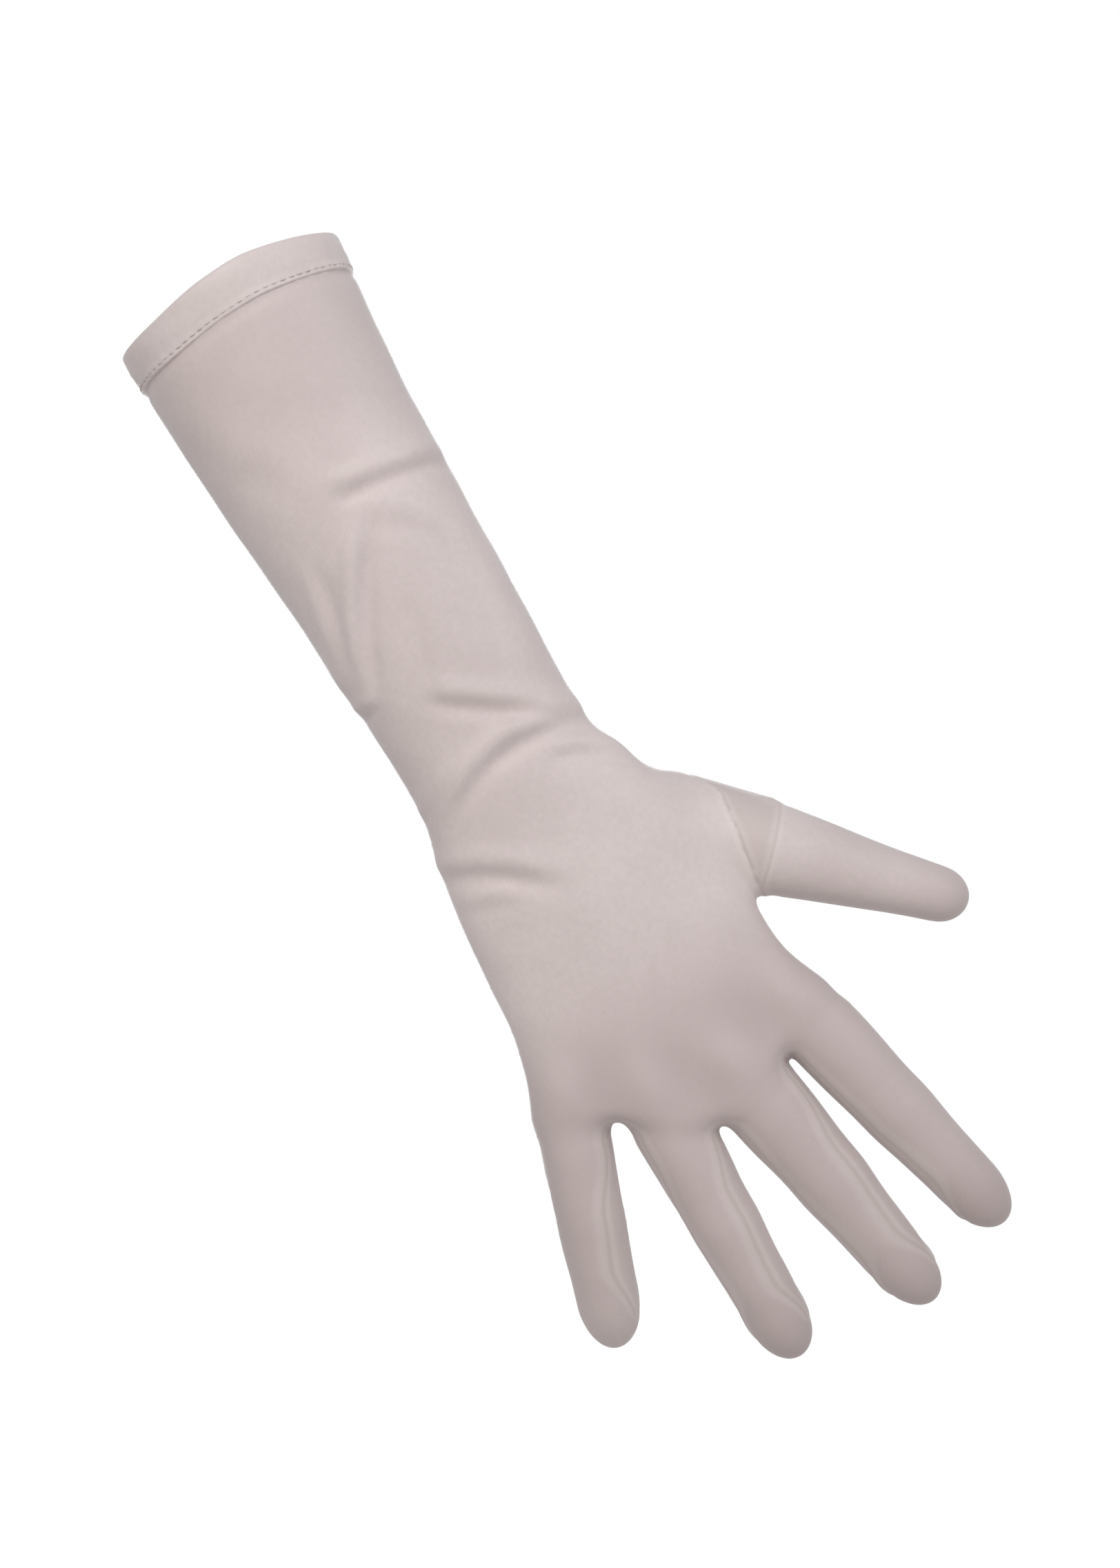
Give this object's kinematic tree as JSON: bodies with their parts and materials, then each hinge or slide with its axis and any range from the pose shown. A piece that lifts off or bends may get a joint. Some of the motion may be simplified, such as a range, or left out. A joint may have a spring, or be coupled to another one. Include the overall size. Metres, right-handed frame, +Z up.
{
  "type": "elbow-length opera glove",
  "caption": "Right-hand opera glove of stretch satin cloth, in its worn shape: a plain hemmed sleeve, a set-in thumb and side panels between the fingers, bending at the wrist and fingers.",
  "frame": {"origin": "centre of the sleeve's mouth, in the plane of the hem's edge", "axes": "+Z up the arm, with the fingers pointing down; +X towards the thumb; the back of the hand faces -Y and the palm +Y"},
  "size_m": [0.1582, 0.0628, 0.356],
  "materials": {
    "cloth": "matte satin stretch cloth, greyish white",
    "side_cloth": "the same cloth, in the side panels and the gusset",
    "fold_cloth": "the same cloth, where it creases at the bends",
    "hem": "the same cloth, turned in and double",
    "thread": "matte sewing thread"
  },
  "bodies": {
    "sleeve": {"hem_band": "hem", "hem_thread": "thread", "sleeve_back": "cloth", "sleeve_palm": "cloth", "wrist_folds": "fold_cloth"},
    "hand": {"hand_back": "cloth", "hand_palm": "cloth", "thumb_root": "cloth", "thumb_gusset": "side_cloth", "knuckle_folds": "fold_cloth", "thumb_knuckle_fold": "fold_cloth"},
    "fingers": {"knuckles_back": "cloth", "knuckles_palm": "cloth", "fourchette_little_ring": "side_cloth", "fourchette_ring_middle": "side_cloth", "fourchette_middle_index": "side_cloth", "index_fold": "fold_cloth", "middle_fold": "fold_cloth", "ring_fold": "fold_cloth", "little_fold": "fold_cloth"},
    "index_tip": {"index_tip_back": "cloth", "index_tip_palm": "cloth", "index_tip_fourchette": "side_cloth"},
    "middle_tip": {"middle_tip_back": "cloth", "middle_tip_palm": "cloth", "middle_tip_fourchettes": "side_cloth"},
    "ring_tip": {"ring_tip_back": "cloth", "ring_tip_palm": "cloth", "ring_tip_fourchettes": "side_cloth"},
    "little_tip": {"little_tip_back": "cloth", "little_tip_palm": "cloth", "little_tip_fourchette": "side_cloth"},
    "thumb_base": {"thumb_base": "cloth", "thumb_middle_fold": "fold_cloth"},
    "thumb_tip": {"thumb_tip": "cloth"}
  },
  "joints": [
    {"name": "wrist", "type": "hinge", "parent": "sleeve", "child": "hand", "pos_m": [-0.001, 0, -0.158], "axis": [1, 0, 0], "range_deg": [-50, 60], "deforming": ["wrist_folds"]},
    {"name": "knuckles", "type": "hinge", "parent": "hand", "child": "fingers", "pos_m": [0, 0, -0.245], "axis": [0.9903, 0, -0.1392], "range_deg": [-10, 75], "deforming": ["knuckle_folds"]},
    {"name": "index_middle_joint", "type": "hinge", "parent": "fingers", "child": "index_tip", "pos_m": [0.04548, 0.00142, -0.2953], "axis": [0.9732, 0, 0.23], "range_deg": [0, 85], "deforming": ["index_fold"]},
    {"name": "middle_middle_joint", "type": "hinge", "parent": "fingers", "child": "middle_tip", "pos_m": [0.0189, 0.00074, -0.30266], "axis": [0.9869, 0, 0.1616], "range_deg": [0, 85], "deforming": ["middle_fold"]},
    {"name": "ring_middle_joint", "type": "hinge", "parent": "fingers", "child": "ring_tip", "pos_m": [-0.01375, 0.00091, -0.298], "axis": [0.9998, 0, -0.0175], "range_deg": [0, 85], "deforming": ["ring_fold"]},
    {"name": "little_middle_joint", "type": "hinge", "parent": "fingers", "child": "little_tip", "pos_m": [-0.0456, 0.00208, -0.28486], "axis": [0.9563, 0, -0.2924], "range_deg": [0, 85], "deforming": ["little_fold"]},
    {"name": "thumb_base_joint", "type": "hinge", "parent": "hand", "child": "thumb_base", "pos_m": [0.05731, 0.0081, -0.22101], "axis": [0.4585, 0.766, 0.4505], "range_deg": [-5, 20], "deforming": ["thumb_knuckle_fold"]},
    {"name": "thumb_tip_joint", "type": "hinge", "parent": "thumb_base", "child": "thumb_tip", "pos_m": [0.07483, 0.0097, -0.23884], "axis": [0.4585, 0.766, 0.4505], "range_deg": [0, 35], "deforming": ["thumb_middle_fold"]}
  ]
}
